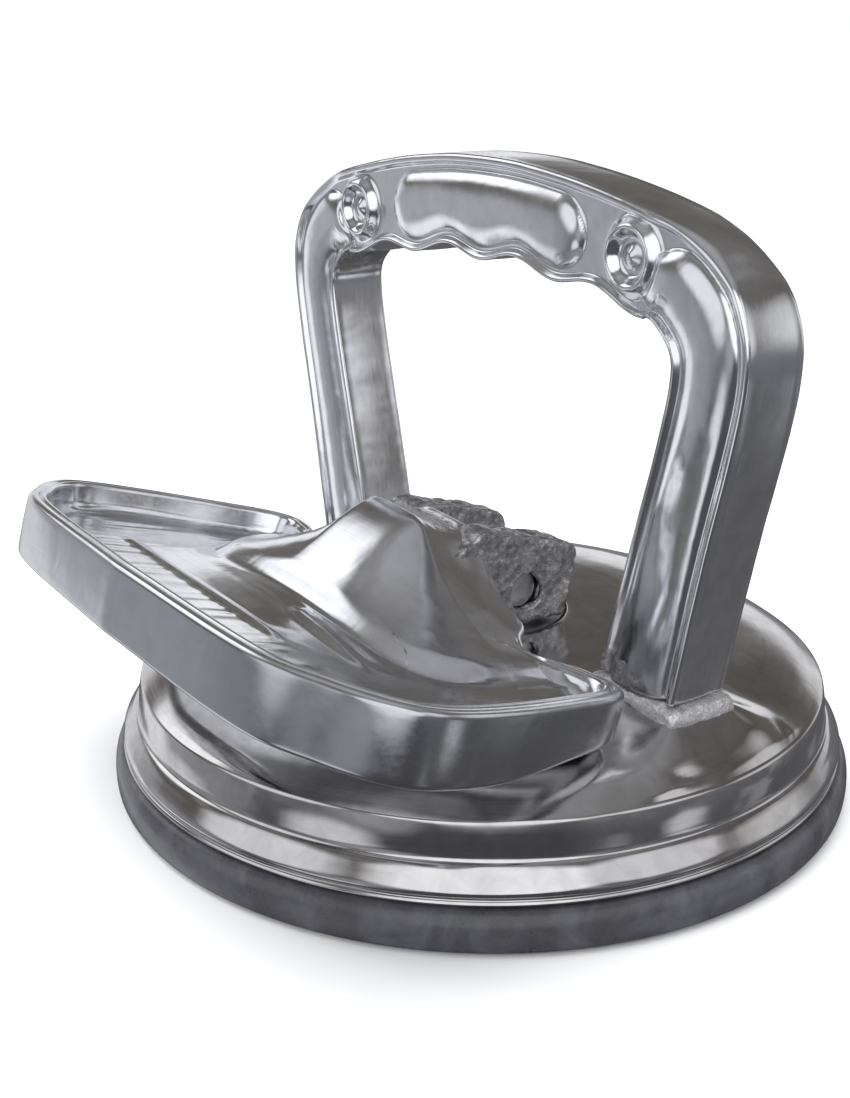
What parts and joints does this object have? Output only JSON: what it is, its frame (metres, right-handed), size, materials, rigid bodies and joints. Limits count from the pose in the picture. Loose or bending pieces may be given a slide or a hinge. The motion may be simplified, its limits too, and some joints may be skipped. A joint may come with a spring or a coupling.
{
  "type": "lever vacuum suction cup",
  "caption": "Lever-operated vacuum suction lifter: round rubber pad under a polished metal housing, arch handle and cam lever.",
  "frame": {"origin": "centre of the pad's sealing face, on the axis of the cup", "axes": "+Z away from the surface the pad sits on, X along the arch handle and the hinge pin, -Y towards the tip of the lever"},
  "size_m": [0.118, 0.123, 0.096],
  "materials": {
    "polished_aluminium": "cast aluminium, polished to a mirror with soft buffing marks",
    "steel": "bright machined steel",
    "bronze": "machined bearing bronze",
    "nylon": "natural nylon",
    "pad_rubber": "black moulded rubber, satin"
  },
  "bodies": {
    "body": {"rubber_pad": "pad_rubber", "housing": "polished_aluminium", "handle": "polished_aluminium", "handle_screw_left": "steel", "handle_screw_right": "steel", "screw_washer_left": "steel", "screw_washer_right": "steel", "guide_bush": "bronze", "wear_plate": "steel", "spring_seat": "steel", "return_spring": "steel"},
    "pull_stem": {"stem": "steel", "insert_plate": "steel", "stem_lock_washer": "steel", "stem_nut": "steel", "eye_washer_left": "nylon", "eye_washer_right": "nylon"},
    "cam_lever": {"lever": "polished_aluminium", "pivot_pin": "steel", "pin_lock_screw": "steel"}
  },
  "joints": [
    {"name": "stem_slide", "type": "slide", "parent": "body", "child": "pull_stem", "axis": [0, 0, 1], "range_m": [0, 0.002], "deforming": ["return_spring"]},
    {"name": "lever_hinge", "type": "hinge", "parent": "pull_stem", "child": "cam_lever", "pos_m": [0, 0, 0.0318], "axis": [1, 0, 0], "range_deg": [0, 16]}
  ],
  "couplings": [
    {"joint": "stem_slide", "follows": "lever_hinge", "m_per_rad": 0.00716}
  ]
}
